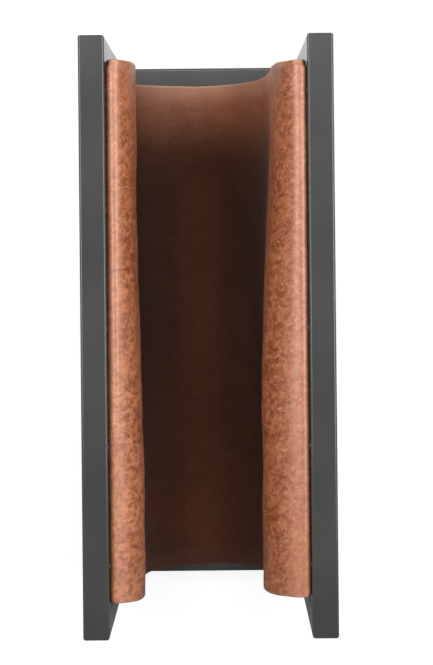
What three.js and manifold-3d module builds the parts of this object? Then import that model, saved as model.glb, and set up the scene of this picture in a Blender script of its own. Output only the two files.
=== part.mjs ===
// A floor basket for magazines. Two side frames of square steel tube stand on
// plastic glides and are tied by two low crossbars. One sheet of leather hangs
// between the top rails: each hem is clamped on the rail's inner face by a steel
// strip, folds over the strip in a soft roll and falls into the sling.
//
// Millimetres, +Z up. The floor is z = 0, the length lies along Y, and -Y is the
// front end. Sizes named drop are measured down from the top of the rails.

import * as THREE from 'three';
import { mergeVertices } from 'three/addons/utils/BufferGeometryUtils.js';
import Module from 'manifold-3d';

// Frame
const length = 456;
const width = 193;
const height = 300;

// Square tube
const bar = 20;
const wall = 1.5;
const barCorner = 2;
const cornerSteps = 2;

// Gap across a welded mitre, and the clearance of leather, plugs and threads
const mitreGap = 0.3;
const clearance = 0.3;

// Plastic glide under each post: a cap, and a finned stem pushed up the tube
const glideHeight = 3;
const glideChamfer = 0.6;
const stemHeight = 13;
const stemCore = 12;
const stemCorner = 0.5;
const finCount = 3;
const finThickness = 1.2;
const finInset = 2;

// Clamp strip on the inner face of each top rail, its ends set in from the leather's
const stripSetIn = 9;
const stripHeight = 9;
const stripThickness = 3;
const stripCorner = 3;
const stripDrop = 9;
const stripHole = 4.8;

// Button-head screws along a strip
const screwCount = 5;
const screwInset = 15;
const screwDiameter = 4;
const screwLength = 12;
const headDiameter = 7.6;
const headHeight = 2.2;
const headLand = 0.4;
const socketAcross = 2.5;
const socketDepth = 1.3;

// Rivet nuts set in the rail wall, one behind each screw
const nutNeck = 6;
const nutFlange = 8.5;
const nutFlangeThickness = 0.8;
const nutBulge = 8.2;
const nutBulgeLength = 2.6;
const nutLength = 9;

// Leather sling: its thickness, how far it hangs, how far its hems reach below
// the strips and how far they rise above them before they fold over, how far
// the crowns lie below the rails' tops, and how far its cut ends are set in
// from the ends of the frame
const leather = 2.2;
const slingDrop = 198;
const hemTail = 3.5;
const foldRise = 0.4;
const crownDrop = 3.5;
const rearRimSetIn = 19;
const rearBellySetIn = 22.4;
const frontLeftRimSetIn = 27;
const frontRightRimSetIn = 32;
const frontBellySetIn = 23;

// Cutters run past the faces that they cut by this much
const overrun = 1;

// Facets
const roundSteps = 12;
const boreSteps = 12;
const domeSteps = 3;
const plateSteps = 1;
const slingStations = 7;
const slingSteps = 2;

// Places that follow from the sizes
const railGap = width - 2 * bar;
const halfGap = railGap / 2;
const railCentre = (width - bar) / 2;
const postCentre = (length - bar) / 2;
const mitreTrim = (mitreGap / 2) * Math.SQRT2;
const frontRimSetIn = (frontLeftRimSetIn + frontRightRimSetIn) / 2;
const rimCentre = (frontRimSetIn - rearRimSetIn) / 2;
const stripLength = length - rearRimSetIn - frontRimSetIn - 2 * stripSetIn;
const hemReach = halfGap - clearance;
const stripReach = hemReach - leather - clearance;
const screwDrop = stripDrop + stripHeight / 2;
const screwHeight = height - screwDrop;
const screwPitch = (stripLength - 2 * screwInset) / (screwCount - 1);
const foldRadius = leather + clearance + stripThickness / 2;
const crownReach = hemReach - foldRadius;

// The grain side of the sling in section. Each row is one point of a wall, from
// the crown of its roll down to the belly: reach and drop at the rear end, then
// reach and drop at the front end. Reach is a share of half the gap between the
// rails, drop a share of the sling's drop.
const rightWallShares = [
  [0.878, 0.024, 0.868, 0.024],
  [0.808, 0.051, 0.777, 0.046],
  [0.754, 0.091, 0.669, 0.086],
  [0.708, 0.155, 0.582, 0.146],
  [0.680, 0.263, 0.541, 0.228],
  [0.667, 0.374, 0.544, 0.343],
  [0.656, 0.505, 0.565, 0.485],
  [0.625, 0.646, 0.586, 0.636],
  [0.536, 0.773, 0.575, 0.768],
  [0.379, 0.874, 0.503, 0.884],
  [0.144, 0.962, 0.314, 0.952],
];
const leftWallShares = [
  [0.876, 0.024, 0.879, 0.024],
  [0.809, 0.052, 0.793, 0.052],
  [0.759, 0.098, 0.715, 0.105],
  [0.731, 0.182, 0.675, 0.189],
  [0.739, 0.374, 0.682, 0.303],
  [0.784, 0.515, 0.708, 0.434],
  [0.843, 0.667, 0.729, 0.576],
  [0.863, 0.798, 0.712, 0.707],
  [0.791, 0.899, 0.608, 0.818],
  [0.601, 0.947, 0.405, 0.902],
  [0.353, 0.977, 0.157, 0.952],
];
const bellyShares = [-0.118, 1, 0.092, 0.975];

// Where along the sling, from the rear, each wall changes from its rear section
// to its front one
const rightTurnShares = [0.01, 0.656];
const leftTurnShares = [0.217, 0.876];

// How far the crowns lean away from the rails, at the rear end and at the front
const rightRollLean = [1.2, 1.8];
const leftRollLean = [1.9, 1.6];

const wasm = await Module();
wasm.setup();

function toSolid(geometry) {
  const bare = geometry.clone();
  bare.deleteAttribute('normal');
  bare.deleteAttribute('uv');
  const merged = mergeVertices(bare);
  const mesh = new wasm.Mesh({
    numProp: 3,
    vertProperties: new Float32Array(merged.attributes.position.array),
    triVerts: new Uint32Array(merged.index.array),
  });
  return new wasm.Manifold(mesh);
}

function fromSolid(solid) {
  const mesh = solid.getMesh();
  const geometry = new THREE.BufferGeometry();
  geometry.setAttribute('position', new THREE.BufferAttribute(mesh.vertProperties, 3));
  geometry.setIndex(new THREE.BufferAttribute(mesh.triVerts, 1));
  geometry.computeVertexNormals();
  return geometry;
}

function join(geometries) {
  const solids = geometries.map(toSolid);
  return fromSolid(solids.reduce((whole, piece) => whole.add(piece)));
}

function cut(geometry, cutters) {
  const solids = cutters.map(toSolid);
  return fromSolid(solids.reduce((whole, piece) => whole.subtract(piece), toSolid(geometry)));
}

function roundedRectangle(outline, across, up, corner) {
  const x = across / 2 - corner;
  const y = up / 2 - corner;
  const quarter = Math.PI / 2;
  outline.absarc(x, -y, corner, -quarter, 0, false);
  outline.absarc(x, y, corner, 0, quarter, false);
  outline.absarc(-x, y, corner, quarter, 2 * quarter, false);
  outline.absarc(-x, -y, corner, 2 * quarter, 3 * quarter, false);
  return outline;
}

// A plate with round corners that stands on the XY plane
function plate(across, up, corner, depth) {
  const outline = roundedRectangle(new THREE.Shape(), across, up, corner);
  return new THREE.ExtrudeGeometry(outline, { depth, bevelEnabled: false, curveSegments: plateSteps });
}

// A length of square tube along Z, centred on the origin
function tube(run) {
  const inside = bar - 2 * wall;
  const section = roundedRectangle(new THREE.Shape(), bar, bar, barCorner);
  section.holes.push(roundedRectangle(new THREE.Path(), inside, inside, barCorner - wall));
  const settings = { depth: run, bevelEnabled: false, curveSegments: cornerSteps };
  const geometry = new THREE.ExtrudeGeometry(section, settings);
  geometry.translate(0, 0, -run / 2);
  return geometry;
}

// A round cutter along X
function boreCutter(diameter, run, x, y, z) {
  const geometry = new THREE.CylinderGeometry(diameter / 2, diameter / 2, run, boreSteps);
  geometry.rotateZ(Math.PI / 2);
  geometry.translate(x, y, z);
  return geometry;
}

function screwPlaces() {
  const first = rimCentre - (screwPitch * (screwCount - 1)) / 2;
  return Array.from({ length: screwCount }, (_, i) => first + i * screwPitch);
}

// Top rail along Y with both ends mitred down to the posts, and a hole in its
// inner wall for each rivet nut. side is 1 on the right and -1 on the left.
function topRail(side) {
  const rail = tube(length);
  rail.rotateX(Math.PI / 2);
  const points = rail.attributes.position;
  for (let i = 0; i < points.count; i += 1) {
    const drawnIn = bar / 2 - points.getZ(i) + mitreTrim;
    points.setY(i, points.getY(i) - Math.sign(points.getY(i)) * drawnIn);
  }
  const x = side * (wall - bar) / 2;
  const z = bar / 2 - screwDrop;
  const bore = nutNeck + 2 * clearance;
  const cutters = screwPlaces().map((y) => boreCutter(bore, wall + 2 * overrun, x, y, z));
  return cut(rail, cutters);
}

// Post with its top mitred up to the rail. end is 1 at the rear and -1 in front.
function post(end) {
  const run = height - glideHeight;
  const geometry = tube(run);
  geometry.translate(0, 0, run / 2);
  const points = geometry.attributes.position;
  for (let i = 0; i < points.count; i += 1) {
    if (points.getZ(i) > run / 2) {
      points.setZ(i, run - (bar / 2 - end * points.getY(i)) - mitreTrim);
    }
  }
  return geometry;
}

// Bottom rail along Y, cut square between the two posts of its side
function bottomRail() {
  const geometry = tube(length - 2 * bar);
  geometry.rotateX(Math.PI / 2);
  return geometry;
}

// Crossbar along X, cut square between the two side frames
function crossbar() {
  const geometry = tube(railGap);
  geometry.rotateY(Math.PI / 2);
  return geometry;
}

// Glide: a chamfered cap as wide as the tube, with a finned stem above it
function glide() {
  const outline = roundedRectangle(new THREE.Shape(), bar, bar, barCorner);
  const cap = new THREE.ExtrudeGeometry(outline, {
    depth: glideHeight - 2 * glideChamfer,
    bevelThickness: glideChamfer,
    bevelSize: glideChamfer,
    bevelOffset: -glideChamfer,
    bevelSegments: 1,
    curveSegments: cornerSteps,
  });
  cap.translate(0, 0, glideChamfer);
  const stem = plate(stemCore, stemCore, stemCorner, stemHeight + overrun);
  stem.translate(0, 0, glideHeight - overrun);
  const finAcross = bar - 2 * wall - 2 * clearance;
  const finPitch = (stemHeight - 2 * finInset - finThickness) / (finCount - 1);
  const fins = [];
  for (let i = 0; i < finCount; i += 1) {
    const fin = plate(finAcross, finAcross, stemCorner, finThickness);
    fin.translate(0, 0, glideHeight + finInset + i * finPitch);
    fins.push(fin);
  }
  return join([cap, stem, ...fins]);
}

// Clamp strip: a flat bar along Y, with a hole for each screw
function clampStrip() {
  const outline = roundedRectangle(new THREE.Shape(), stripLength, stripHeight, stripCorner);
  for (const y of screwPlaces()) {
    const hole = new THREE.Path();
    hole.absarc(y - rimCentre, 0, stripHole / 2, 0, Math.PI, false);
    hole.absarc(y - rimCentre, 0, stripHole / 2, Math.PI, 2 * Math.PI, false);
    outline.holes.push(hole);
  }
  const settings = { depth: stripThickness, bevelEnabled: false, curveSegments: boreSteps / 4 };
  const geometry = new THREE.ExtrudeGeometry(outline, settings);
  geometry.translate(0, 0, -stripThickness / 2);
  geometry.rotateX(Math.PI / 2);
  geometry.rotateZ(Math.PI / 2);
  return geometry;
}

// Button-head screw along X, with its head's seat at the origin and the shank
// running to +X
function screw() {
  const rise = headHeight - headLand;
  const profile = [new THREE.Vector2(0, -screwLength)];
  profile.push(new THREE.Vector2(screwDiameter / 2, -screwLength));
  profile.push(new THREE.Vector2(screwDiameter / 2, 0));
  profile.push(new THREE.Vector2(headDiameter / 2, 0));
  for (let i = 0; i < domeSteps; i += 1) {
    const angle = (i / domeSteps) * (Math.PI / 2);
    const radius = (headDiameter / 2) * Math.cos(angle);
    profile.push(new THREE.Vector2(radius, headLand + rise * Math.sin(angle)));
  }
  profile.push(new THREE.Vector2(0, headHeight));
  const body = new THREE.LatheGeometry(profile, roundSteps);
  const socketRadius = socketAcross / Math.sqrt(3);
  const socketRun = socketDepth + overrun;
  const socket = new THREE.CylinderGeometry(socketRadius, socketRadius, socketRun, 6);
  socket.translate(0, headHeight - socketDepth + socketRun / 2, 0);
  const geometry = cut(body, [socket]);
  geometry.rotateZ(Math.PI / 2);
  return geometry;
}

// Rivet nut along X after setting: the flange lies outside the wall, whose inner
// face is at the origin, and the bulge grips the wall from behind
function rivetNut() {
  const bore = screwDiameter / 2 + clearance;
  const back = wall + clearance;
  const profile = [
    new THREE.Vector2(bore, -nutFlangeThickness),
    new THREE.Vector2(nutFlange / 2, -nutFlangeThickness),
    new THREE.Vector2(nutFlange / 2, 0),
    new THREE.Vector2(nutNeck / 2, 0),
    new THREE.Vector2(nutNeck / 2, back),
    new THREE.Vector2(nutBulge / 2, back + nutBulgeLength / 2),
    new THREE.Vector2(nutNeck / 2, back + nutBulgeLength),
    new THREE.Vector2(nutNeck / 2, nutLength),
    new THREE.Vector2(bore, nutLength),
    new THREE.Vector2(bore, -nutFlangeThickness),
  ];
  const geometry = new THREE.LatheGeometry(profile, roundSteps);
  geometry.rotateZ(-Math.PI / 2);
  return geometry;
}

function blend(from, to, share) {
  return from + (to - from) * share;
}

// 0 before the turn, 1 after it, and a smooth change between
function turned(along, turnShares) {
  return THREE.MathUtils.smoothstep(along, turnShares[0], turnShares[1]);
}

// One point of the section: reach is signed, and drop counts downwards
function sectionPoint(row, side, turn) {
  const reach = side * halfGap * blend(row[0], row[2], turn);
  const drop = slingDrop * blend(row[1], row[3], turn);
  return new THREE.Vector3(reach, -drop, 0);
}

// The hem, the tight fold over the strip and the crown of the roll on one side
function hemPoints(side, lean) {
  const reach = crownReach - lean;
  return [
    new THREE.Vector3(side * hemReach, -(stripDrop + stripHeight + hemTail), 0),
    new THREE.Vector3(side * hemReach, -(stripDrop - foldRise), 0),
    new THREE.Vector3(side * (reach + 0.9 * foldRadius), -(crownDrop + 0.375 * foldRadius), 0),
    new THREE.Vector3(side * reach, -crownDrop, 0),
  ];
}

// The grain line of the whole section, from the left hem to the right one, as
// a smooth curve. along is 0 at the rear end and 1 at the front end.
function grainCurve(along) {
  const leftTurn = turned(along, leftTurnShares);
  const rightTurn = turned(along, rightTurnShares);
  const left = leftWallShares.map((row) => sectionPoint(row, -1, leftTurn));
  const right = rightWallShares.map((row) => sectionPoint(row, 1, rightTurn));
  const belly = sectionPoint(bellyShares, 1, (leftTurn + rightTurn) / 2);
  const leftHem = hemPoints(-1, blend(...leftRollLean, along));
  const rightHem = hemPoints(1, blend(...rightRollLean, along));
  const points = [...leftHem, ...left, belly, ...right.reverse(), ...rightHem.reverse()];
  return new THREE.CatmullRomCurve3(points, false, 'centripetal');
}

// Section points with the direction towards the flesh side
function slingSection(along) {
  const curve = grainCurve(along);
  const spans = curve.points.length - 1;
  const shares = [0];
  for (let i = slingSteps; i <= (spans - 1) * slingSteps; i += 1) {
    shares.push(i / (spans * slingSteps));
  }
  shares.push(1);
  return shares.map((share) => {
    const onHem = share === 0 || share === 1;
    const tangent = onHem ? new THREE.Vector3(0, share === 0 ? 1 : -1, 0) : curve.getTangent(share);
    return { at: curve.getPoint(share), toFlesh: new THREE.Vector3(tangent.y, -tangent.x, 0) };
  });
}

// How far along Y the sheet's cut ends lie, for a point of the section
function rearEnd(point) {
  return length / 2 - blend(rearRimSetIn, rearBellySetIn, -point.y / slingDrop);
}

function frontEnd(point) {
  const across = (point.x + halfGap) / railGap;
  const rim = blend(frontLeftRimSetIn, frontRightRimSetIn, across);
  return blend(rim, frontBellySetIn, -point.y / slingDrop) - length / 2;
}

// The sheet as a closed shell: rings of grain points, then of flesh points
function slingShell() {
  const vertices = [];
  const triangles = [];
  let ring = 0;
  for (let station = 0; station < slingStations; station += 1) {
    const along = station / (slingStations - 1);
    const section = slingSection(along);
    ring = section.length;
    for (const depth of [0, leather]) {
      for (const { at, toFlesh } of section) {
        const y = blend(rearEnd(at), frontEnd(at), along);
        vertices.push(at.x + toFlesh.x * depth, y, at.y + toFlesh.y * depth);
      }
    }
  }
  const quad = (a, b, c, d) => triangles.push(a, b, c, a, c, d);
  const row = 2 * ring;
  for (let station = 0; station < slingStations - 1; station += 1) {
    const here = station * row;
    const next = here + row;
    for (let i = 0; i < ring - 1; i += 1) {
      quad(here + i, next + i, next + i + 1, here + i + 1);
      quad(here + ring + i, here + ring + i + 1, next + ring + i + 1, next + ring + i);
    }
    quad(here, here + ring, next + ring, next);
    quad(here + row - 1, here + ring - 1, next + ring - 1, next + row - 1);
  }
  const last = (slingStations - 1) * row;
  for (let i = 0; i < ring - 1; i += 1) {
    quad(i, i + 1, ring + i + 1, ring + i);
    quad(last + i, last + ring + i, last + ring + i + 1, last + i + 1);
  }
  const geometry = new THREE.BufferGeometry();
  geometry.setAttribute('position', new THREE.Float32BufferAttribute(vertices, 3));
  geometry.setIndex(triangles);
  return geometry;
}

// The sling, with holes punched in its hems round the flanges of the nuts
function sling() {
  const hole = nutFlange + 2 * clearance;
  const cutters = [];
  for (const side of [-1, 1]) {
    const x = side * (hemReach - leather / 2);
    for (const y of screwPlaces()) {
      cutters.push(boreCutter(hole, leather + 2 * clearance, x, y, -screwDrop));
    }
  }
  return cut(slingShell(), cutters);
}

function finish(color, roughness, metalness) {
  return new THREE.MeshStandardMaterial({ color, roughness, metalness });
}

const finishes = {
  powderCoat: () => finish(0x555554, 0.55, 0.2),
  leather: () => finish(0xa8683f, 0.6, 0),
  zinc: () => finish(0xb9bcbd, 0.35, 1),
  plastic: () => finish(0x1c1c1d, 0.6, 0),
};

const group = new THREE.Group();

function place(name, geometry, material, x, y, z) {
  const mesh = new THREE.Mesh(geometry, material);
  mesh.name = name;
  mesh.position.set(x, y, z);
  group.add(mesh);
  return mesh;
}

const sides = { left: -1, right: 1 };
const ends = { front: -1, rear: 1 };
const lowCentre = glideHeight + bar / 2;

for (const [sideName, side] of Object.entries(sides)) {
  const x = side * railCentre;
  place(`${sideName}_top_rail`, topRail(side), finishes.powderCoat(), x, 0, height - bar / 2);
  place(`${sideName}_bottom_rail`, bottomRail(), finishes.powderCoat(), x, 0, lowCentre);
  for (const [endName, end] of Object.entries(ends)) {
    const y = end * postCentre;
    place(`${sideName}_${endName}_post`, post(end), finishes.powderCoat(), x, y, glideHeight);
    place(`${sideName}_${endName}_glide`, glide(), finishes.plastic(), x, y, 0);
  }
}

for (const [endName, end] of Object.entries(ends)) {
  place(`${endName}_crossbar`, crossbar(), finishes.powderCoat(), 0, end * postCentre, lowCentre);
}

for (const [sideName, side] of Object.entries(sides)) {
  const stripX = side * (stripReach - stripThickness / 2);
  const seatX = side * (stripReach - stripThickness);
  const railX = side * halfGap;
  place(`${sideName}_clamp_strip`, clampStrip(), finishes.zinc(), stripX, rimCentre, screwHeight);
  screwPlaces().forEach((y, i) => {
    const count = i + 1;
    const bolt = place(`${sideName}_screw_${count}`, screw(), finishes.zinc(), seatX, y, screwHeight);
    const nut = place(`${sideName}_rivet_nut_${count}`, rivetNut(), finishes.zinc(), railX, y, screwHeight);
    bolt.rotation.z = side > 0 ? 0 : Math.PI;
    nut.rotation.z = bolt.rotation.z;
  });
}

place('leather_sling', sling(), finishes.leather(), 0, 0, height);

export default group;
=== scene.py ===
# Looks of the magazine basket: a leather sling in place of the plain one, weld
# seams on the frame, materials, floor, light and camera. Metres, +Z up.

import bpy
import bmesh
import math
import numpy as np
from mathutils import Matrix, Vector


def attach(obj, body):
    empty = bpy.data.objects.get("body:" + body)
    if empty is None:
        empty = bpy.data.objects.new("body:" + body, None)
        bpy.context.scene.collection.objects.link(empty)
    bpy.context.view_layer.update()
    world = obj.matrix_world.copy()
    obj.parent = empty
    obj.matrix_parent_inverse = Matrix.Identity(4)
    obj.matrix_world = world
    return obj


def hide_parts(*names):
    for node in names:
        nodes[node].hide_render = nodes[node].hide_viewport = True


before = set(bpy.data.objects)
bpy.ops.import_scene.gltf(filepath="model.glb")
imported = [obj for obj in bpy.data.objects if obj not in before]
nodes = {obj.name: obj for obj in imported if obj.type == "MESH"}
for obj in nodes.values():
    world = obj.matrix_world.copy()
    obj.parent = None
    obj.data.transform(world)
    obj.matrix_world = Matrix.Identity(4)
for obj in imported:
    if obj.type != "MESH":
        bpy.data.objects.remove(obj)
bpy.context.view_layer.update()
collection = bpy.context.scene.collection

# Sizes of the frame
LENGTH = 0.456
WIDTH = 0.193
HEIGHT = 0.300
BAR = 0.020
WALL = 0.0015
BAR_CORNER = 0.002
BORE_CORNER = 0.0006
GLIDE_HEIGHT = 0.003
HALF_GAP = WIDTH / 2 - BAR
RAIL_CENTRE = (WIDTH - BAR) / 2
POST_CENTRE = (LENGTH - BAR) / 2

# Sizes of the welds
MITRE_GAP = 0.0003
MITRE_PROUD = 0.00006
BEAD_RADIUS = 0.0016
BEAD_STEP = 0.0005
BEAD_SIDES = 9
BEAD_ROOT = 0.0002
BEAD_RIPPLE = 0.0011
BEAD_TAPER = 9
BEAD_BLUNT = 0.05
BEAD_FOOT_GAP = 0.002
BEAD_TOP_GAP = 0.001

# Sizes of the sling and of what clamps it
LEATHER = 0.0022
CLEARANCE = 0.0003
SHEET_LENGTH = 0.410
SLING_DROP = 0.198
STRIP_LENGTH = 0.3895
STRIP_HEIGHT = 0.009
STRIP_THICKNESS = 0.003
STRIP_DROP = 0.009
STRIP_CENTRE = 0.00525
SCREW_COUNT = 5
SCREW_RUN = STRIP_LENGTH - 0.030
SCREW_DROP = STRIP_DROP + STRIP_HEIGHT / 2
HOLE = 0.0091
HEM_REACH = HALF_GAP - CLEARANCE
HEM_TAIL = 0.0035
FOLD_RADIUS = LEATHER + CLEARANCE + STRIP_THICKNESS / 2
FOLD_RISE = 0.0004
CROWN_DROP = 0.0035
SHOULDER_REACH = 0.9
SHOULDER_DROP = 0.375
REAR_RIM = 0.019
REAR_BELLY = 0.0231
FRONT_LEFT_RIM = 0.027
FRONT_RIGHT_RIM = 0.032
FRONT_BELLY = 0.0216

# The grain side of the sling in section, from the crown of a roll down to the
# belly: reach and drop at the rear end, then reach and drop at the front end
RIGHT_WALL = [
    [0.878, 0.024, 0.868, 0.024],
    [0.808, 0.051, 0.777, 0.046],
    [0.754, 0.091, 0.669, 0.086],
    [0.708, 0.155, 0.582, 0.146],
    [0.680, 0.263, 0.541, 0.228],
    [0.667, 0.374, 0.544, 0.343],
    [0.656, 0.505, 0.565, 0.485],
    [0.625, 0.646, 0.586, 0.636],
    [0.536, 0.773, 0.575, 0.768],
    [0.379, 0.874, 0.503, 0.884],
    [0.144, 0.962, 0.314, 0.952],
]
LEFT_WALL = [
    [0.876, 0.024, 0.879, 0.024],
    [0.809, 0.052, 0.793, 0.052],
    [0.759, 0.098, 0.715, 0.105],
    [0.731, 0.182, 0.675, 0.189],
    [0.739, 0.374, 0.682, 0.303],
    [0.784, 0.515, 0.708, 0.434],
    [0.843, 0.667, 0.729, 0.576],
    [0.863, 0.798, 0.712, 0.707],
    [0.791, 0.899, 0.608, 0.818],
    [0.601, 0.947, 0.405, 0.902],
    [0.353, 0.977, 0.157, 0.952],
]
BELLY = [-0.118, 1, 0.092, 0.975]

# Shares of the length over which the section turns from its rear to its front
# shape, and how far in the rolls' crowns stand at the rear and at the front
RIGHT_TURN = (0.01, 0.656)
LEFT_TURN = (0.217, 0.876)
RIGHT_LEAN = (0.0008, 0.0010)
LEFT_LEAN = (0.0018, 0.0025)

# How far the cut ends stray from a straight cut, by depth below the rails
CUT_DEPTHS = (0.005, 0.010, 0.019, 0.033, 0.055, 0.080, 0.105, 0.150)
CUT_REAR_LEFT = (0.0010, 0.0008, 0.0012, 0.0020, 0.0025, 0.0025, 0.0012, 0.0)
CUT_REAR_RIGHT = (-0.0003, -0.0006, 0.0, 0.0009, 0.0011, 0.0012, 0.0008, 0.0)
CUT_FRONT_LEFT = (0.0003, 0.0008, 0.0016, 0.0017, 0.0017, 0.0014, 0.0008, 0.0)
CUT_FRONT_RIGHT = (0.0016, 0.0013, 0.0012, 0.0005, 0.0005, 0.0005, 0.0003, 0.0)

# Points of the sling's mesh: steps in each span of the section, and rows along
# the sheet, the first three of which round the cut edge
HEM_STEPS = [8, 7, 7]
WALL_STEPS = 8
EDGE_ROWS = [0.0, 0.00015, 0.0006]
EDGE_DRAW = (0.00060, 0.00022)
SIDE_DRAW = 0.0004
INNER_START = 0.0014
INNER_ROWS = 168
GRAIN_SLOT = 0
FLESH_SLOT = 1
EDGE_SLOT = 2

# Height and wavelength of the hide's unevenness, and where it sets in: by the
# distance from the hem, and for the puckers by length, reach and depth
SWELL = (0.00050, 0.085)
SWELL_FROM_HEM = (0.026, 0.075)
RIPPLE = (0.00016, 0.024)
RIPPLE_FROM_HEM = (0.022, 0.05)
PUCKER = (0.00045, 0.012)
PUCKER_REAR = (0.150, 0.205)
PUCKER_RIGHT = (0.018, 0.040)
PUCKER_DEPTH = (0.10, 0.15)

# How far the fold leans away from the rail past the strips, and over what run,
# and the stretch between the hem and the far side of the fold where it does
REAR_FLARE = (0.0010, 0.0065)
FRONT_FLARE = (0.0005, 0.004)
FLARE_FROM_HEM = (0.002, 0.016)
FLARE_TO_ROLL = (0.027, 0.040)

# Where shade is painted on the hide in the trough, from where to where each change sets in, and
# how much less it darkens in the belly and at the front, and more at the sides
DARK_DEPTH = (0.055, 0.105)
DARK_REAR_END = (0.136, 0.202)
DARK_BELLY = (0.165, 0.195)
DARK_FRONT_END = (0.10, 0.17)
DARK_LEFT = (0.038, 0.060)
DARK_RIGHT = (0.006, 0.030)
DARK_SIDE_DEPTH = (0.10, 0.14)
LESS_IN_BELLY = 0.08
LESS_IN_FRONT = 0.07
MORE_ASIDE = 0.36

# Painted light and shade in the trough, as how bright it is against its plain brown: in its rear half,
# in its front half and at its rear end, and where the front half sets in
LEFT_TROUGH_LIGHT = (0.62, 0.95, 0.85, (0.00, 0.10))
RIGHT_TROUGH_LIGHT = (0.86, 1.00, 1.22, (0.05, 0.12))
MIDDLE_TROUGH_LIGHT = (1.30, 1.50, 1.03, (0.05, 0.13))
TROUGH_LIGHT_REAR_END = (0.10, 0.16)
TROUGH_LIGHT_FRONT_END = (0.190, 0.207)
TROUGH_LIGHT_LEFT = (0.017, 0.035)
TROUGH_LIGHT_RIGHT = (-0.006, 0.024)
TROUGH_LIGHT_DEPTH = (0.10, 0.15)

# Where the hide's other marks set in: its front half, where it is smooth, where it is pulled pale over
# the rail with a painted highlight, where its painted light is less, and the painted shade in its
# corners beside the rails
FORWARD = (-0.12, 0.10)
CALM_DEPTH = (0.035, 0.075)
PULL_AND_HIGHLIGHT_REAR = (0.0042, 0.0070)
PULL_AND_HIGHLIGHT_FRONT = (0.0055, 0.0120)
LESS_LIGHT = 0.22
LESS_LIGHT_END = (0.11, 0.17)
CORNER_SHADE_REACH = 0.0700
CORNER_SHADE_RUN = 0.0042
CORNER_SHADE_REAR_END = (0.0030, 0.0100)

# The part of a noise's range that its values spread over
SPAN = (0.3, 0.7)

# Colours of the coat, the zinc and the plastic
COAT_DARK = (0.038, 0.038, 0.0375)
COAT_LIGHT = (0.053, 0.053, 0.052)
ZINC_COOL = (0.36, 0.37, 0.39)
ZINC_WARM = (0.46, 0.46, 0.45)
PLASTIC_DARK = (0.016, 0.016, 0.017)
PLASTIC_LIGHT = (0.028, 0.028, 0.029)

# Colours of the leather
TAN = (0.405, 0.142, 0.067)
# Painted light: paler tan where more light falls on the left roll's front half
TAN_PAINTED_LIGHT = (0.590, 0.240, 0.128)
PIT_BROWN = (0.185, 0.043, 0.010)
WISP_PALE = (0.540, 0.270, 0.175)
PATCH_TAN = (0.400, 0.142, 0.068)
CALM_BROWN = (0.290, 0.092, 0.040)
# Pulled pale hide with a painted highlight on the crowns of the rolls
PULLED_PALE_AND_HIGHLIGHT = (0.520, 0.236, 0.143)
# Painted light near the cut ends of the calm hide, where light comes in at the open ends
END_PAINTED_LIGHT = (0.560, 0.280, 0.180)
# Painted shade: the dark brown of the trough where little light reaches
TROUGH_SHADE_BROWN = (0.052, 0.0150, 0.0055)
RIM_PALE = (0.62, 0.39, 0.28)
# Painted shade in the rear corners of the rolls beside the rails
CORNER_SHADE_BROWN = (0.045, 0.014, 0.006)
FLESH_DARK = (0.26, 0.13, 0.07)
FLESH_PALE = (0.42, 0.245, 0.15)
FLESH_PATCH = (0.33, 0.16, 0.085)
EDGE_DARK = (0.38, 0.23, 0.15)
EDGE_PALE = (0.62, 0.43, 0.31)
EDGE_PATCH = (0.40, 0.20, 0.12)
EDGE_STAIN = (0.300, 0.135, 0.075)
# Painted shade on the cut edge down in the trough
EDGE_TROUGH_SHADE = (0.045, 0.020, 0.012)

# Facets that meet at less than this many degrees are shaded as one round face
ROUND_ANGLE = 30

# Floor and surroundings, as the eye sees them and as a reflection does
FLOOR_RADIUS = 60.0
FLOOR_CORNERS = 96
FLOOR_PLAIN = (0.80, 0.80, 0.80)
FLOOR_SEEN = (0.18, 0.18, 0.18)
FLOOR_SEEN_GLOW = 0.88
FLOOR_GLOSS = 0.66
FLOOR_GLOSS_GLOW = 0.17
FLOOR_GLOSS_FRONT = 0.30
FLOOR_FADE = (-0.18, 0.14)
WORLD_OVERHEAD = (0.12, 0.12, 0.12)
WORLD_WHITE = (1.0, 1.0, 1.0)
WORLD_RISE = (0.25, 0.50)
WORLD_SIDE = (0.35, 0.75)
WORLD_GLOSS_ENDS = 0.10


# Small helpers

def smooth(value, low, high):
    share = np.clip((value - low) / (high - low), 0, 1)
    return share * share * (3 - 2 * share)


def mix(a, b, share):
    return a + (b - a) * share


def waves(x, y, size, seed, count=14):
    """Smooth uneven ground of about the given wavelength, from -1 to 1."""
    rng = np.random.default_rng(seed)
    total = np.zeros_like(x)
    for _ in range(count):
        angle = rng.uniform(0, math.pi)
        step = 2 * math.pi / (size * rng.uniform(0.6, 1.6))
        phase = rng.uniform(0, 2 * math.pi)
        total += np.sin(step * (x * math.cos(angle) + y * math.sin(angle)) + phase)
    return total / math.sqrt(count * 1.6)


def make_mesh(name, vertices, faces, materials, indices=None, smooth_faces=True):
    mesh = bpy.data.meshes.new(name)
    mesh.from_pydata(vertices, [], faces)
    for material in materials:
        mesh.materials.append(material)
    if indices is not None:
        mesh.polygons.foreach_set("material_index", indices)
    mesh.polygons.foreach_set("use_smooth", [smooth_faces] * len(mesh.polygons))
    mesh.update()
    piece = bpy.data.objects.new(name, mesh)
    collection.objects.link(piece)
    return piece


# Material helpers

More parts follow.
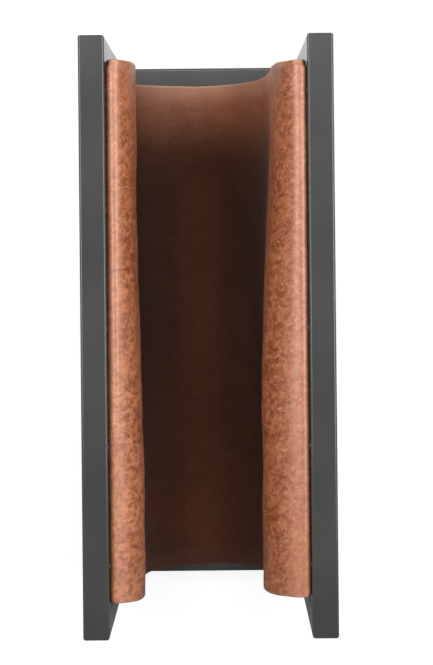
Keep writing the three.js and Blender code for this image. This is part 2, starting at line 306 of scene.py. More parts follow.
class Tree:
    """A node tree, with short ways to add, fill and join its nodes."""

    def __init__(self, owner, output):
        owner.use_nodes = True
        self.tree = owner.node_tree
        self.tree.nodes.clear()
        self.output = self.add(output)

    def add(self, kind):
        return self.tree.nodes.new(kind)

    def join(self, source, target):
        self.tree.links.new(source, target)

    def fill(self, socket, value):
        """Sets a socket to a number or a colour, or joins another node's output to it."""
        if isinstance(value, (int, float)):
            socket.default_value = value
        elif isinstance(value, tuple):
            socket.default_value = (*value, 1.0)
        else:
            self.join(value, socket)

    def maths(self, operation, *values):
        node = self.add("ShaderNodeMath")
        node.operation = operation
        for socket, value in zip(node.inputs, values):
            self.fill(socket, value)
        return node.outputs["Value"]

    def times(self, a, b):
        return self.maths("MULTIPLY", a, b)

    def plus(self, *values):
        total = values[0]
        for value in values[1:]:
            total = self.maths("ADD", total, value)
        return total

    def spread(self, value, low, high, to_low=0.0, to_high=1.0, kind="SMOOTHSTEP"):
        node = self.add("ShaderNodeMapRange")
        node.interpolation_type = kind
        self.fill(node.inputs["Value"], value)
        self.fill(node.inputs["From Min"], low)
        self.fill(node.inputs["From Max"], high)
        self.fill(node.inputs["To Min"], to_low)
        self.fill(node.inputs["To Max"], to_high)
        return node.outputs["Result"]

    def colours(self, share, a, b):
        node = self.add("ShaderNodeMix")
        node.data_type = "RGBA"
        self.fill(node.inputs[0], share)
        self.fill(node.inputs[6], a)
        self.fill(node.inputs[7], b)
        return node.outputs[2]

    def ray(self, name):
        return self.add("ShaderNodeLightPath").outputs[name]

    def seen_directly(self):
        """1 for what the eye sees, also in a reflection or through glass, and 0 otherwise."""
        mirrored = self.maths("MAXIMUM", self.ray("Is Camera Ray"), self.ray("Is Glossy Ray"))
        return self.maths("MAXIMUM", mirrored, self.ray("Is Transmission Ray"))

    def axis(self, space, name):
        split = self.add("ShaderNodeSeparateXYZ")
        self.join(self.add("ShaderNodeTexCoord").outputs[space], split.inputs[0])
        return split.outputs[name]


class Look(Tree):
    """The node tree of a piece's material."""

    def __init__(self, name):
        self.material = bpy.data.materials.new(name)
        super().__init__(self.material, "ShaderNodeOutputMaterial")
        self.shader = self.add("ShaderNodeBsdfPrincipled")
        self.join(self.shader.outputs["BSDF"], self.output.inputs["Surface"])
        self.place = self.add("ShaderNodeTexCoord").outputs["Object"]

    def stretched(self, scale):
        node = self.add("ShaderNodeMapping")
        node.inputs["Scale"].default_value = scale
        self.join(self.place, node.inputs["Vector"])
        return node.outputs["Vector"]

    def slanted(self, angle, length):
        node = self.add("ShaderNodeMapping")
        node.vector_type = "TEXTURE"
        node.inputs["Rotation"].default_value = (0.0, 0.0, math.radians(angle))
        node.inputs["Scale"].default_value = (length, 1.0, 1.5)
        self.join(self.place, node.inputs["Vector"])
        return node.outputs["Vector"]

    def noise(self, scale, detail, roughness, distortion=0.0, vector=None):
        node = self.add("ShaderNodeTexNoise")
        node.inputs["Scale"].default_value = scale
        node.inputs["Detail"].default_value = detail
        node.inputs["Roughness"].default_value = roughness
        node.inputs["Distortion"].default_value = distortion
        self.join(self.place if vector is None else vector, node.inputs["Vector"])
        return node.outputs["Fac"]

    def warped(self, scale, amount, vector):
        noise = self.add("ShaderNodeTexNoise")
        noise.inputs["Scale"].default_value = scale
        self.join(vector, noise.inputs["Vector"])
        push = self.add("ShaderNodeVectorMath")
        push.operation = "MULTIPLY_ADD"
        push.inputs[1].default_value = (amount, amount, amount)
        self.join(noise.outputs["Color"], push.inputs[0])
        self.join(vector, push.inputs[2])
        return push.outputs["Vector"]

    def cells(self, scale, vector=None):
        node = self.add("ShaderNodeTexVoronoi")
        node.inputs["Scale"].default_value = scale
        self.join(self.place if vector is None else vector, node.inputs["Vector"])
        return node.outputs["Distance"]

    def scaled(self, colour, share):
        node = self.add("ShaderNodeVectorMath")
        node.operation = "SCALE"
        self.join(colour, node.inputs[0])
        self.join(share, node.inputs["Scale"])
        return node.outputs["Vector"]

    def attribute(self, name):
        node = self.add("ShaderNodeAttribute")
        node.attribute_name = name
        return node.outputs["Fac"]

    def bump(self, height, distance, strength):
        node = self.add("ShaderNodeBump")
        node.inputs["Strength"].default_value = strength
        node.inputs["Distance"].default_value = distance
        self.join(height, node.inputs["Height"])
        return node.outputs["Normal"]

    def set(self, **values):
        for name, value in values.items():
            self.fill(self.shader.inputs[name.replace("_", " ")], value)


# Powder coat: matt anthracite with a fine orange-peel texture
def powder_coat():
    n = Look("powder_coat_fine")
    fine = n.noise(2600.0, detail=2.0, roughness=0.6)
    peel = n.noise(750.0, detail=2.0, roughness=0.5)
    cloud = n.noise(14.0, detail=3.0, roughness=0.5)
    tone = n.plus(n.times(fine, 0.55), n.times(cloud, 0.45))
    colour = n.colours(n.spread(tone, *SPAN), COAT_DARK, COAT_LIGHT)
    relief = n.plus(fine, n.times(peel, 1.6))
    n.set(Base_Color=colour, Roughness=n.spread(cloud, *SPAN, 0.19, 0.24))
    n.set(Normal=n.bump(relief, 0.00005, 0.25))
    return n.material


# Grain side: pull-up cowhide, paler where it bends over the rolls with a painted highlight there, and
# in fine wrinkles, darker in small pits between them and with painted shade down in the trough
def leather_grain():
    n = Look("leather_grain")
    along = n.stretched((0.85, 1.0, 0.60))
    patch = n.noise(24.0, detail=3.0, roughness=0.55, distortion=0.5, vector=along)
    cloud = n.noise(88.0, detail=2.0, roughness=0.5, distortion=0.4, vector=along)
    blotch = n.noise(225.0, detail=3.0, roughness=0.6, distortion=0.5, vector=along)
    pits = n.cells(330.0, n.warped(150.0, 0.009, along))
    wisp = n.noise(420.0, detail=4.0, roughness=0.6, distortion=1.0, vector=n.slanted(38.0, 2.1))
    pebble = n.cells(1150.0)
    pore = n.noise(2400.0, detail=2.0, roughness=0.6)
    mottle = n.plus(n.times(n.spread(blotch, 0.28, 0.72), 0.52),
                    n.times(n.spread(pits, 0.0, 0.80), 0.20),
                    n.times(n.spread(cloud, 0.28, 0.72), 0.28))

    # From the loose mottled hide of the rolls to the calm hide below them
    calm = n.times(n.attribute("calm"), 0.70)
    loose = n.maths("SUBTRACT", 1.0, calm)
    # Painted light on the left roll, paler towards its front where more light falls
    pale = n.colours(n.attribute("tone"), TAN, TAN_PAINTED_LIGHT)
    body = n.colours(n.spread(mottle, 0.20, 0.92), PIT_BROWN, pale)
    body = n.colours(n.times(n.spread(wisp, 0.50, 0.70, 0.0, 0.70), loose), body, WISP_PALE)
    body = n.colours(n.spread(patch, 0.30, 0.72, 0.0, 0.25), body, PATCH_TAN)
    body = n.colours(calm, body, CALM_BROWN)
    # Paler where the hide is pulled over the rail, and a painted highlight on the crown of each roll
    body = n.colours(n.times(n.attribute("pull_and_highlight"), 0.34), body, PULLED_PALE_AND_HIGHLIGHT)

    # Painted shade in the trough, painted light near the pale ends, pale rims, and painted shade in
    # the corners beside the rails
    trough_shade = n.times(n.attribute("trough_shade"), n.spread(patch, 0.25, 0.75, 0.94, 1.0))
    # Painted light near the cut ends of the calm hide
    ends = n.times(n.spread(n.attribute("rim"), 0.0, 21.0, 0.75, 0.0), calm)
    body = n.colours(ends, body, END_PAINTED_LIGHT)
    body = n.colours(trough_shade, body, TROUGH_SHADE_BROWN)
    # Painted light and shade in the trough: brighter along its middle, darker towards its sides
    body = n.scaled(body, n.attribute("trough_light_and_shade"))
    unshaded = n.maths("SUBTRACT", n.plus(calm, 0.15), trough_shade)
    rim = n.times(n.spread(n.attribute("rim"), 0.0, 2.1, 1.0, 0.0), unshaded)
    body = n.colours(rim, body, RIM_PALE)
    # Painted shade in the rear corners beside the rails
    body = n.colours(n.spread(n.attribute("corner_shade"), 0.45, 1.0), body, CORNER_SHADE_BROWN)

    relief = n.plus(n.times(pebble, 0.7), n.times(pore, 0.5), n.times(mottle, 0.8))
    rough = n.plus(n.spread(mottle, 0.30, 0.70, 0.345, 0.305), n.times(calm, 0.36),
                   n.times(trough_shade, 0.40), n.spread(n.attribute("corner_shade"), 0.0, 0.5, 0.0, 0.42))
    n.set(Base_Color=body, Roughness=rough)
    n.set(Normal=n.bump(relief, 0.00022, 0.35))
    return n.material


# Flesh side: soft split suede
def leather_flesh():
    n = Look("leather_flesh")
    nap = n.noise(900.0, detail=6.0, roughness=0.75, vector=n.stretched((1.0, 0.45, 1.0)))
    patch = n.noise(35.0, detail=4.0, roughness=0.6, distortion=0.5)
    colour = n.colours(n.spread(nap, *SPAN), FLESH_DARK, FLESH_PALE)
    colour = n.colours(n.spread(patch, *SPAN, 0.0, 0.4), colour, FLESH_PATCH)
    n.set(Base_Color=colour, Roughness=n.spread(patch, *SPAN, 0.88, 0.97))
    n.set(Sheen_Weight=0.35, Sheen_Roughness=0.6, Normal=n.bump(nap, 0.0003, 0.6))
    return n.material


# Cut edge: raw leather with its fibres in layers
def leather_edge():
    n = Look("leather_edge")
    fibre = n.noise(1500.0, detail=5.0, roughness=0.7, vector=n.stretched((1.0, 0.3, 1.0)))
    patch = n.noise(60.0, detail=3.0, roughness=0.6)
    colour = n.colours(n.spread(fibre, *SPAN), EDGE_DARK, EDGE_PALE)
    colour = n.colours(n.spread(patch, 0.35, 0.7, 0.0, 0.4), colour, EDGE_PATCH)
    colour = n.colours(n.maths("SUBTRACT", 0.80, n.attribute("calm")), colour, EDGE_STAIN)
    # Painted shade on the cut edge where it lies down in the trough
    colour = n.colours(n.times(n.attribute("trough_shade"), 0.92), colour, EDGE_TROUGH_SHADE)
    # Painted shade on the cut edge in the corners beside the rails
    colour = n.colours(n.attribute("corner_shade"), colour, CORNER_SHADE_BROWN)
    n.set(Base_Color=colour, Roughness=n.spread(fibre, *SPAN, 0.72, 0.9))
    n.set(Normal=n.bump(fibre, 0.0002, 0.6))
    return n.material


# Zinc plate: bright, with faint rolling marks and a bluish passivation
def zinc_plate():
    n = Look("zinc_plate_bright")
    marks = n.noise(420.0, detail=4.0, roughness=0.6, vector=n.stretched((2.4, 0.12, 2.4)))
    cloud = n.noise(70.0, detail=3.0, roughness=0.6)
    colour = n.colours(n.spread(cloud, *SPAN), ZINC_COOL, ZINC_WARM)
    n.set(Base_Color=colour, Metallic=1.0, Roughness=n.spread(marks, *SPAN, 0.44, 0.56))
    n.set(Normal=n.bump(marks, 0.00003, 0.5))
    return n.material


# Glides: black moulded plastic with a spark-eroded texture
def glide_plastic():
    n = Look("glide_plastic_black")
    speckle = n.noise(1900.0, detail=3.0, roughness=0.6)
    cloud = n.noise(90.0, detail=2.0, roughness=0.5)
    colour = n.colours(n.spread(speckle, *SPAN), PLASTIC_DARK, PLASTIC_LIGHT)
    n.set(Base_Color=colour, Roughness=n.spread(cloud, *SPAN, 0.48, 0.60))
    n.set(Normal=n.bump(speckle, 0.00006, 0.6))
    return n.material


coat = powder_coat()
zinc = zinc_plate()
plastic = glide_plastic()
grain = leather_grain()
flesh = leather_flesh()
edge = leather_edge()


# The sling

def wall_points(rows, side, turn):
    rows = np.array(rows)
    reach = side * HALF_GAP * mix(rows[:, 0], rows[:, 2], turn)
    drop = SLING_DROP * mix(rows[:, 1], rows[:, 3], turn)
    return np.stack([reach, -drop], 1)


def hem_points(side, lean):
    crown = HEM_REACH - FOLD_RADIUS - lean
    shoulder = crown + SHOULDER_REACH * FOLD_RADIUS
    return np.array([
        [side * HEM_REACH, -(STRIP_DROP + STRIP_HEIGHT + HEM_TAIL)],
        [side * HEM_REACH, -(STRIP_DROP - FOLD_RISE)],
        [side * shoulder, -(CROWN_DROP + SHOULDER_DROP * FOLD_RADIUS)],
        [side * crown, -CROWN_DROP],
    ])


def control_points(along):
    left_turn = smooth(along, *LEFT_TURN)
    right_turn = smooth(along, *RIGHT_TURN)
    left = wall_points(LEFT_WALL, -1, left_turn)
    right = wall_points(RIGHT_WALL, 1, right_turn)
    belly = wall_points([BELLY], 1, (left_turn + right_turn) / 2)
    left_hem = hem_points(-1, mix(*LEFT_LEAN, along))
    right_hem = hem_points(1, mix(*RIGHT_LEAN, along))
    return np.concatenate([left_hem, left, belly, right[::-1], right_hem[::-1]])


def section_curve(points, steps):
    """A centripetal curve through points, with the given number of steps in each span."""
    first = 2 * points[0] - points[1]
    last = 2 * points[-1] - points[-2]
    padded = np.concatenate([[first], points, [last]])
    out = []
    for i, count in enumerate(steps):
        p0, p1, p2, p3 = padded[i:i + 4]
        d0, d1, d2 = (np.sum((b - a) ** 2) ** 0.25 for a, b in ((p0, p1), (p1, p2), (p2, p3)))
        t1 = ((p1 - p0) / d0 - (p2 - p0) / (d0 + d1) + (p2 - p1) / d1) * d1
        t2 = ((p2 - p1) / d1 - (p3 - p1) / (d1 + d2) + (p3 - p2) / d2) * d1
        if i == 0 or i == len(steps) - 1:
            t1 = p2 - p1
            t2 = p2 - p1
        w = (np.arange(count) / count)[:, None]
        out.append(p1 + t1 * w + (3 * (p2 - p1) - 2 * t1 - t2) * w ** 2
                   + (2 * (p1 - p2) + t1 + t2) * w ** 3)
    out.append(points[-1:])
    return np.concatenate(out)


def sheet_normals(points):
    across = np.gradient(points, axis=1)
    down = np.gradient(points, axis=0)
    normals = np.cross(down, across)
    return normals / np.linalg.norm(normals, axis=2, keepdims=True)


def cut_ends(x, depth):
    """Where the cut ends of the hide run, at a reach and a depth below the rails."""
    depth_share = depth / SLING_DROP
    rear = LENGTH / 2 - mix(REAR_RIM, REAR_BELLY, depth_share)
    front_rim = mix(FRONT_LEFT_RIM, FRONT_RIGHT_RIM, (x + HALF_GAP) / (2 * HALF_GAP))
    front = mix(front_rim, FRONT_BELLY, depth_share) - LENGTH / 2
    right = x > 0
    rear += np.where(right, np.interp(depth, CUT_DEPTHS, CUT_REAR_RIGHT),
                     np.interp(depth, CUT_DEPTHS, CUT_REAR_LEFT))
    front -= np.where(right, np.interp(depth, CUT_DEPTHS, CUT_FRONT_RIGHT),
                      np.interp(depth, CUT_DEPTHS, CUT_FRONT_LEFT))
    return rear, front


def unevenness(x, y, z, arc, to_hem):
    """How high the hanging hide stands off its plain form, with puckers low on the right."""
    height, size = SWELL
    lift = height * waves(arc, y, size, seed=3) * smooth(to_hem, *SWELL_FROM_HEM)
    height, size = RIPPLE
    lift += height * waves(arc * 1.4, y, size, seed=5) * smooth(to_hem, *RIPPLE_FROM_HEM)
    height, size = PUCKER
    corner = smooth(y, *PUCKER_REAR) * smooth(x, *PUCKER_RIGHT) * smooth(-z, *PUCKER_DEPTH)
    lift += height * waves(arc * 2.2, y * 0.8, size, seed=8) * corner
    return lift


def flare(from_rear, from_front, to_hem):
    """How far the fold leans away from the rail past the ends of the clamp strips."""
    amount, run = REAR_FLARE
    lean = amount * (1 - smooth(from_rear, 0.0, run))
    amount, run = FRONT_FLARE
    lean += amount * (1 - smooth(from_front, 0.0, run))
    return lean * (1 - smooth(to_hem, *FLARE_TO_ROLL)) * smooth(to_hem, *FLARE_FROM_HEM)


def skin_faces(rows, columns):
    """Faces and slots of two skins, with the edges that join them all round."""
    offset = rows * columns
    last = (rows - 1) * columns
    rounded = len(EDGE_ROWS) - 1
    faces = []
    slots = []
    for r in range(rows - 1):
        on_edge = r < rounded or r >= rows - 1 - rounded
        for c in range(columns - 1):
            a = r * columns + c
            b = a + 1
            d = a + columns
            e = d + 1
            faces.append((a, d, e, b))
            faces.append((offset + a, offset + b, offset + e, offset + d))
            slots += [EDGE_SLOT, EDGE_SLOT] if on_edge else [GRAIN_SLOT, FLESH_SLOT]
    for c in range(columns - 1):
        faces.append((c, c + 1, offset + c + 1, offset + c))
        faces.append((last + c, offset + last + c, offset + last + c + 1, last + c + 1))
        slots += [EDGE_SLOT, EDGE_SLOT]
    for r in range(rows - 1):
        a = r * columns
        d = a + columns
        faces.append((a, offset + a, offset + d, d))
        a += columns - 1
        d += columns - 1
        faces.append((a, d, offset + d, offset + a))
        slots += [EDGE_SLOT, EDGE_SLOT]
    return faces, slots


def leather_sling():
    wall_spans = len(LEFT_WALL) + len(RIGHT_WALL) + 2
    steps = HEM_STEPS + [WALL_STEPS] * wall_spans + HEM_STEPS[::-1]
    inner = np.linspace(INNER_START, SHEET_LENGTH - INNER_START, INNER_ROWS)
    rows = np.concatenate([EDGE_ROWS, inner, SHEET_LENGTH - np.array(EDGE_ROWS[::-1])])
    rows = rows / SHEET_LENGTH
    sections = np.array([section_curve(control_points(a), steps) for a in rows])
    x = sections[:, :, 0]
    z = sections[:, :, 1]
    rear, front = cut_ends(x, -z)
    y = mix(rear, front, rows[:, None])
    points = np.stack([x, y, z + HEIGHT], 2)

    # Arc length across the sheet, and the distance along it from the nearer hem
    steps_across = np.linalg.norm(np.diff(points, axis=1), axis=2)
    arc = np.concatenate([np.zeros((len(rows), 1)), np.cumsum(steps_across, axis=1)], 1)
    to_hem = np.minimum(arc, arc[:, -1:] - arc)

    lift = unevenness(x, y, z, arc, to_hem)
    points = points + sheet_normals(points) * lift[:, :, None]
    points[:, :, 0] -= np.sign(x) * flare(rear - y, y - front, to_hem)
    normals = sheet_normals(points)

    # Two skins a leather's thickness apart, drawn in to a rounded edge
    edge_depth = np.zeros(len(rows))
    edge_depth[[0, -1]] = EDGE_DRAW[0]
    edge_depth[[1, -2]] = EDGE_DRAW[1]
    side_depth = np.zeros(points.shape[1])
    side_depth[[0, -1]] = SIDE_DRAW
    inset = np.maximum(edge_depth[:, None], side_depth[None, :])[:, :, None]
    top = points - normals * inset
    under = points - normals * (LEATHER - inset)
    vertices = np.concatenate([top.reshape(-1, 3), under.reshape(-1, 3)])
    faces, slots = skin_faces(*x.shape)
    return make_mesh("leather_sling_hide", vertices.tolist(), faces, [grain, flesh, edge], slots)


def punch_holes(piece):
    """Cuts the round holes that clear the rivet nuts' flanges out of both hems."""
    bm = bmesh.new()
    pitch = SCREW_RUN / (SCREW_COUNT - 1)
    for side in (-1, 1):
        for i in range(SCREW_COUNT):
            y = STRIP_CENTRE - SCREW_RUN / 2 + i * pitch
            centre = Vector((side * (HEM_REACH - LEATHER / 2), y, HEIGHT - SCREW_DROP))
            turn = Matrix.Translation(centre) @ Matrix.Rotation(math.pi / 2, 4, "Y")
            bmesh.ops.create_cone(bm, cap_ends=True, segments=32, radius1=HOLE / 2,
                                  radius2=HOLE / 2, depth=LEATHER * 2, matrix=turn)
    mesh = bpy.data.meshes.new("hole_cutters")
    bm.to_mesh(mesh)
    bm.free()
    cutter = bpy.data.objects.new("hole_cutters", mesh)
    collection.objects.link(cutter)
    modifier = piece.modifiers.new("holes", "BOOLEAN")
    modifier.operation = "DIFFERENCE"
    modifier.solver = "EXACT"
    modifier.object = cutter
    bpy.context.view_layer.update()
    graph = bpy.context.evaluated_depsgraph_get()
    result = bpy.data.meshes.new_from_object(piece.evaluated_get(graph))
    piece.modifiers.clear()
    piece.data = result
    bpy.data.objects.remove(cutter)
    bpy.data.meshes.remove(mesh)


def painted_trough_shade(x, y, depth):
    """How much painted shade darkens the hide: most in the trough, and less towards its rear end."""
    trough_shade = smooth(depth, *DARK_DEPTH) * (1 - smooth(y, *DARK_REAR_END))
    trough_shade *= 1 - LESS_IN_BELLY * smooth(depth, *DARK_BELLY)
    trough_shade *= 1 - LESS_IN_FRONT * smooth(-y, *DARK_FRONT_END)
    aside = smooth(-x, *DARK_LEFT) + smooth(x, *DARK_RIGHT)
    return 1 - (1 - trough_shade) * (1 - MORE_ASIDE * aside * smooth(depth, *DARK_SIDE_DEPTH))


def along_trough(trough_light_and_shade, y):
    """How bright the painted light and shade make one strip of the trough at each point of its length.
    """
    rear_half, front_half, rear_end, front_sets_in = trough_light_and_shade
    halves = mix(rear_half, front_half, smooth(-y, *front_sets_in))
    return mix(halves, rear_end, smooth(y, *TROUGH_LIGHT_REAR_END))


def painted_trough_light(x, y, depth):
    """How bright the hide is against its own colour: painted light along the middle of the trough,
    painted shade towards its sides, most on the left, and more light at its rear end on the right.
    """
    middle = mix(along_trough(MIDDLE_TROUGH_LIGHT, y), 1.00, smooth(-y, *TROUGH_LIGHT_FRONT_END))
    to_left = smooth(-x, *TROUGH_LIGHT_LEFT) * (along_trough(LEFT_TROUGH_LIGHT, y) - middle)
    to_right = smooth(x, *TROUGH_LIGHT_RIGHT) * (along_trough(RIGHT_TROUGH_LIGHT, y) - middle)
    return 1 + (middle + to_left + to_right - 1) * smooth(depth, *TROUGH_LIGHT_DEPTH)


def mark_hide(piece):
    """Stores what the leather's look goes by. For each point, rim is the distance in
    millimetres from the nearest cut end. The others are the painted shade in the trough, how smooth
    the hide is (calm), how pale it is pulled over the rail with a painted highlight, the painted light
    on the left roll (tone), the painted shade beside a rail, and the trough's painted light and shade."""
    places = np.empty(len(piece.data.vertices) * 3)
    piece.data.vertices.foreach_get("co", places)
    x, y, z = places.reshape(-1, 3).T
    depth = HEIGHT - z
    rear, front = cut_ends(x, depth)
    forward = smooth(-y, *FORWARD)
    pulled, free = (mix(a, b, forward) for a, b in zip(PULL_AND_HIGHLIGHT_REAR, PULL_AND_HIGHLIGHT_FRONT))
    light = forward * (1 - LESS_LIGHT * smooth(-y, *LESS_LIGHT_END))
    corner = np.clip((np.abs(x) - CORNER_SHADE_REACH) / CORNER_SHADE_RUN, 0, 1)
    marks = {
        "rim": np.minimum(rear - y, y - front) * 1000,
        # painted shade in the trough
        "trough_shade": painted_trough_shade(x, y, depth),
        "calm": smooth(depth, *CALM_DEPTH),
        # paler where pulled over the rail, with a painted highlight on the crown
        "pull_and_highlight": 1 - smooth(depth, pulled, free),
        # tone is painted light on the left roll
        "tone": np.where(x < 0, light, 0.0),
        # painted shade in the rear corners beside the rails
        "corner_shade": corner * (1 - smooth(rear - y, *CORNER_SHADE_REAR_END)),
        # painted light and shade in the trough
        "trough_light_and_shade": painted_trough_light(x, y, depth),
    }
    for name, values in marks.items():
        attribute = piece.data.attributes.new(name, "FLOAT", "POINT")
        attribute.data.foreach_set("value", values)


sling = leather_sling()
punch_holes(sling)
mark_hide(sling)
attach(sling, "root")
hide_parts("leather_sling")


# Weld seams

def weld_piece(name, vertices, faces):
    """A weld as an object of its own, with its faces turned outwards."""
    piece = make_mesh(name, vertices, faces, [coat])
    bm = bmesh.new()
    bm.from_mesh(piece.data)
    bmesh.ops.recalc_face_normals(bm, faces=bm.faces)
    bm.to_mesh(piece.data)
    bm.free()
    return piece


def rounded_square(size, corner, steps=5):
    half = size / 2 - corner
    ring = []
    for sx, sy, start in ((1, 1, 0), (-1, 1, 90), (-1, -1, 180), (1, -1, 270)):
        for i in range(steps + 1):
            angle = math.radians(start + 90 * i / steps)
            ring.append((sx * half + corner * math.cos(angle), sy * half + corner * math.sin(angle)))
    return ring


def mitre_weld(name, side, end):
    """The ground weld that fills the mitre between a top rail and a post."""
    outer = rounded_square(BAR + MITRE_PROUD, BAR_CORNER)
    inner = rounded_square(BAR - 2 * WALL, BORE_CORNER)
    count = len(outer)
    vertices = []
    for ring in (outer, inner):
        for shift in (-0.5, 0.5):
            for u, v in ring:
                push = shift * MITRE_GAP * math.sqrt(2)
                y = end * (POST_CENTRE + v)
                vertices.append((side * RAIL_CENTRE + u, y, HEIGHT - BAR / 2 + v + push))
    faces = []
    for i in range(count):
        j = (i + 1) % count
        a, b = i, j
        c, d = count + i, count + j
        e, f = 2 * count + i, 2 * count + j
        g, h = 3 * count + i, 3 * count + j
        faces += [(a, b, d, c), (e, g, h, f), (a, e, f, b), (c, d, h, g)]
    return weld_piece(name, vertices, faces)


def bead(path, across, up, seed):
    """A weld bead along a straight path, with ripples and tapered ends."""
    start, stop = (Vector(p) for p in path)
    across = Vector(across)
    up = Vector(up)
    run = (stop - start).length
    count = max(12, int(run / BEAD_STEP))
    rng = np.random.default_rng(seed)
    jitter = rng.uniform(-1, 1, count + 1)
    vertices = []
    for i in range(count + 1):
        share = i / count
        taper = min(1.0, share * BEAD_TAPER + BEAD_BLUNT, (1 - share) * BEAD_TAPER + BEAD_BLUNT) ** 0.5
        wave = math.sin(share * run / BEAD_RIPPLE * 2 * math.pi)
        ripple = 1 + 0.07 * wave + 0.03 * jitter[i]
        centre = start.lerp(stop, share)
        for k in range(BEAD_SIDES):
            angle = math.pi / 2 * k / (BEAD_SIDES - 1)
            bulge = BEAD_RADIUS * taper * ripple * (0.80 + 0.20 * math.sin(2 * angle))
            vertices.append(centre + across * bulge * math.cos(angle) + up * bulge * math.sin(angle))
        vertices.append(centre - across * BEAD_ROOT - up * BEAD_ROOT)
    ring = BEAD_SIDES + 1
    faces = []
    for i in range(count):
        for k in range(ring):
            a = i * ring + k
            b = i * ring + (k + 1) % ring
            faces.append((a, b, b + ring, a + ring))
    faces.append(tuple(range(ring - 1, -1, -1)))
    faces.append(tuple(count * ring + k for k in range(ring)))
    return vertices, faces


def low_weld(name, side, end, seed):
    """The beads where a bottom rail and a crossbar meet the foot of a post."""
    top = GLIDE_HEIGHT + BAR
    inside = side * (RAIL_CENTRE - BAR / 2)
    face = end * (POST_CENTRE - BAR / 2)
    reach = BAR / 2 - BAR_CORNER * 0.6
    x = side * RAIL_CENTRE
    y = end * POST_CENTRE
    up = (0, 0, 1)
    inwards = (-side, 0, 0)
    lengthwise = (0, -end, 0)
    upright = ((inside, face, GLIDE_HEIGHT + BEAD_FOOT_GAP), (inside, face, top - BEAD_TOP_GAP))
    parts = [
        bead(((x - reach, face, top), (x + reach, face, top)), lengthwise, up, seed),
        bead(((inside, y - reach, top), (inside, y + reach, top)), inwards, up, seed + 1),
        bead(upright, inwards, lengthwise, seed + 2),
    ]
    vertices = []
    faces = []
    for some_vertices, some_faces in parts:
        base = len(vertices)
        vertices += some_vertices
        faces += [tuple(base + v for v in f) for f in some_faces]
    return weld_piece(name, vertices, faces)


seed = 20
for side_name, side in (("left", -1), ("right", 1)):
    for end_name, end in (("front", -1), ("rear", 1)):
        seed += 10
        for piece in (
            mitre_weld(f"{side_name}_{end_name}_mitre_weld", side, end),
            low_weld(f"{side_name}_{end_name}_low_weld", side, end, seed),
        ):
            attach(piece, "root")


# Materials of the carried-over nodes

def dress(node, material):
    mesh = node.data
    mesh.materials.clear()
    mesh.materials.append(material)


def shade_round(node):
    """Shades a piece as round where its facets meet at a shallow angle."""
    mesh = node.data
    count = len(mesh.polygons)
    normals = np.array([face.normal for face in mesh.polygons])
    areas = np.array([face.area for face in mesh.polygons])

    # Facets of one direction weigh as much together as the flat face they make
    planes = {}
    for i in range(count):
        planes.setdefault(tuple(np.round(normals[i], 3)), []).append(i)
    weights = np.empty(count)
    for faces in planes.values():
        weights[faces] = areas[faces].sum()

    # Corners of facets that share a place, to the nearest thousandth of a millimetre
    corners = {}
    for face in mesh.polygons:
        for loop in face.loop_indices:
            place = mesh.vertices[mesh.loops[loop].vertex_index].co
            corners.setdefault(tuple(round(v * 1e6) for v in place), []).append((loop, face.index))
    shading = np.empty((len(mesh.loops), 3))
    for group in corners.values():
        around = sorted({face for _, face in group})
        directions = {tuple(np.round(normals[face], 3)): face for face in around}
        near = np.array([normals[face] for face in directions.values()])
        size = np.array([weights[face] for face in directions.values()])
        for loop, face in group:
            alike = near @ normals[face] > math.cos(math.radians(ROUND_ANGLE))
            total = (near[alike] * size[alike, None]).sum(0)
            shading[loop] = total / np.linalg.norm(total)
    mesh.polygons.foreach_set("use_smooth", [True] * count)
    mesh.normals_split_custom_set(shading.tolist())


for name, node in nodes.items():
    if name != "leather_sling":
        shade_round(node)
    if name.endswith(("rail", "post", "crossbar")):
        dress(node, coat)
    elif name.endswith("glide"):
        dress(node, plastic)
    elif "strip" in name or "screw" in name or "rivet" in name:
        dress(node, zinc)


# Floor and surroundings

def floor_material():
    """White to the eye, darker towards the front in a reflection, and a plain floor
    for the light it throws back."""
    material = bpy.data.materials.new("studio_floor")
    n = Tree(material, "ShaderNodeOutputMaterial")
    along = n.axis("Object", "Y")
    tone = n.spread(along, *FLOOR_FADE, FLOOR_GLOSS * FLOOR_GLOSS_FRONT, FLOOR_GLOSS)
    shine = n.spread(along, *FLOOR_FADE, FLOOR_GLOSS_GLOW * FLOOR_GLOSS_FRONT, FLOOR_GLOSS_GLOW)
    shadow = n.add("ShaderNodeBsdfDiffuse")
    n.fill(shadow.inputs["Color"], n.colours(n.ray("Is Glossy Ray"), FLOOR_SEEN, tone))
    glow = n.add("ShaderNodeEmission")
    strength = n.spread(n.ray("Is Glossy Ray"), 0.0, 1.0, FLOOR_SEEN_GLOW, shine, "LINEAR")
    n.fill(glow.inputs["Strength"], strength)
    both = n.add("ShaderNodeAddShader")
    n.join(shadow.outputs[0], both.inputs[0])
    n.join(glow.outputs[0], both.inputs[1])
    plain = n.add("ShaderNodeBsdfDiffuse")
    n.fill(plain.inputs["Color"], FLOOR_PLAIN)
    choice = n.add("ShaderNodeMixShader")
    n.fill(choice.inputs[0], n.seen_directly())
    n.join(plain.outputs[0], choice.inputs[1])
    n.join(both.outputs[0], choice.inputs[2])
    n.join(choice.outputs[0], n.output.inputs["Surface"])
    return material


def make_floor():
    ring = []
    for i in range(FLOOR_CORNERS):
        angle = i * math.pi / (FLOOR_CORNERS // 2)
        ring.append((FLOOR_RADIUS * math.cos(angle), FLOOR_RADIUS * math.sin(angle), 0.0))
    faces = [tuple(range(FLOOR_CORNERS))]
    return make_mesh("floor", ring, faces, [floor_material()], smooth_faces=False)


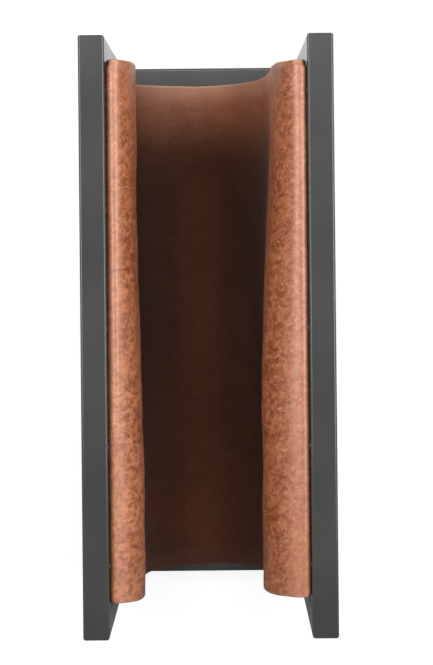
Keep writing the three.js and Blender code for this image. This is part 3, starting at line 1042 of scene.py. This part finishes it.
def make_world():
    """Dim overhead, and a white surround near the horizon for the eye. A reflection
    shows the white only at the sides."""
    world = bpy.data.worlds.new("studio")
    bpy.context.scene.world = world
    n = Tree(world, "ShaderNodeOutputWorld")
    low = n.spread(n.axis("Generated", "Z"), *WORLD_RISE, 1.0, 0.0)
    white = n.times(low, n.seen_directly())
    sideways = n.maths("ABSOLUTE", n.axis("Generated", "X"))
    side = n.spread(sideways, *WORLD_SIDE, WORLD_GLOSS_ENDS, 1.0)
    gloss = n.spread(n.ray("Is Glossy Ray"), 0.0, 1.0, 1.0, side, "LINEAR")
    background = n.add("ShaderNodeBackground")
    n.fill(background.inputs["Color"], n.colours(n.times(white, gloss), WORLD_OVERHEAD, WORLD_WHITE))
    n.join(background.outputs[0], n.output.inputs["Surface"])


def softbox(name, place, target, width, height, power):
    light = bpy.data.lights.new(name, "AREA")
    light.shape = "RECTANGLE"
    light.size = width
    light.size_y = height
    light.energy = power
    lamp = bpy.data.objects.new(name, light)
    lamp.location = place
    lamp.visible_camera = False
    lamp.rotation_euler = (Vector(target) - Vector(place)).to_track_quat("-Z", "Y").to_euler()
    collection.objects.link(lamp)


floor = make_floor()
make_world()
softbox("softbox_left", place=(-0.82, 0.36, 1.24), target=(0, 0.36, 0.28),
        width=1.10, height=0.70, power=13.6)
softbox("softbox_right", place=(0.82, 0.28, 1.24), target=(0, 0.28, 0.28),
        width=1.10, height=0.70, power=16.4)
softbox("softbox_rear", place=(0, 0.75, 1.60), target=(0, 0.05, 0.25),
        width=0.45, height=0.50, power=8.5)


# Camera, straight above as in the photograph

camera = bpy.data.cameras.new("camera")
camera.lens = 97.55
camera.sensor_width = 36.0
camera.shift_x = -0.0068
camera.shift_y = -0.1451
camera.clip_start = 0.05
camera.clip_end = 200.0
viewer = bpy.data.objects.new("camera", camera)
viewer.location = (0.0103, 0.0757, 1.657)
viewer.rotation_euler = (0, 0, -0.0096)
collection.objects.link(viewer)
bpy.context.scene.camera = viewer
bpy.context.scene.view_settings.view_transform = "Standard"


# Corners of a box as plain numbers

def plain(box):
    return [[float(value) for value in corner] for corner in box]
